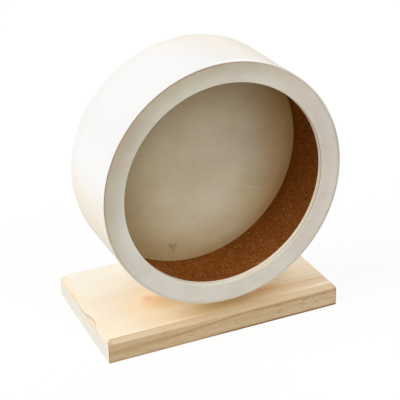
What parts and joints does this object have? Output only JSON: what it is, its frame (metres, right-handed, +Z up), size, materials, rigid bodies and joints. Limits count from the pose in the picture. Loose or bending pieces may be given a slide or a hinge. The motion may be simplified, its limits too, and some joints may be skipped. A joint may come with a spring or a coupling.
{
  "type": "rodent exercise wheel",
  "caption": "Open-fronted plywood drum with a cork running track, turning on a ball-bearing axle in an upright board on a bevelled pine base.",
  "frame": {"origin": "centre of the base board's underside", "axes": "+Z up; -Y towards the drum's open mouth; +Y to the rear, along the axle towards the upright; +X to the right, seen from the mouth"},
  "size_m": [0.205, 0.123, 0.233],
  "materials": {
    "base_pine": "matte",
    "upright_pine": "matte",
    "shell_ply": "matte",
    "ring_ply": "matte",
    "disc_ply": "matte",
    "hub_ply": "matte",
    "track_cork": "matte",
    "dowel_beech": "matte",
    "bolt_zinc": "satin",
    "washer_zinc": "satin",
    "screw_zinc": "satin",
    "bearing_steel": "satin",
    "ball_steel": "polished",
    "shield_steel": "satin",
    "cage_nylon": "matte",
    "insert_nylon": "satin"
  },
  "bodies": {
    "stand": {"base_board": "base_pine", "upright_board": "upright_pine", "upright_screws": "screw_zinc", "upright_dowels": "dowel_beech", "front_bearing_outer_race": "bearing_steel", "front_bearing_shields": "shield_steel", "rear_bearing_outer_race": "bearing_steel", "rear_bearing_shields": "shield_steel"},
    "wheel": {"drum_shell": "shell_ply", "front_ring": "ring_ply", "cork_liner": "track_cork", "back_disc": "disc_ply", "hub_block": "hub_ply", "axle_bolt": "bolt_zinc", "hub_washer": "washer_zinc", "jam_nut": "bolt_zinc", "front_thrust_washer": "washer_zinc", "front_bearing_inner_race": "bearing_steel", "race_spacer": "washer_zinc", "rear_bearing_inner_race": "bearing_steel", "rear_thrust_washer": "washer_zinc", "lock_nut": "bolt_zinc", "lock_nut_insert": "insert_nylon"},
    "front_ball_set": {"front_bearing_balls": "ball_steel", "front_bearing_cage": "cage_nylon"},
    "rear_ball_set": {"rear_bearing_balls": "ball_steel", "rear_bearing_cage": "cage_nylon"}
  },
  "joints": [
    {"name": "wheel_spin", "type": "hinge", "parent": "stand", "child": "wheel", "pos_m": [0, 0, 0.133], "axis": [0, 1, 0], "continuous": true},
    {"name": "front_ball_orbit", "type": "hinge", "parent": "stand", "child": "front_ball_set", "pos_m": [0, 0, 0.133], "axis": [0, 1, 0], "continuous": true},
    {"name": "rear_ball_orbit", "type": "hinge", "parent": "stand", "child": "rear_ball_set", "pos_m": [0, 0, 0.133], "axis": [0, 1, 0], "continuous": true}
  ],
  "couplings": [
    {"joint": "front_ball_orbit", "follows": "wheel_spin", "ratio": 0.368},
    {"joint": "rear_ball_orbit", "follows": "wheel_spin", "ratio": 0.368}
  ]
}
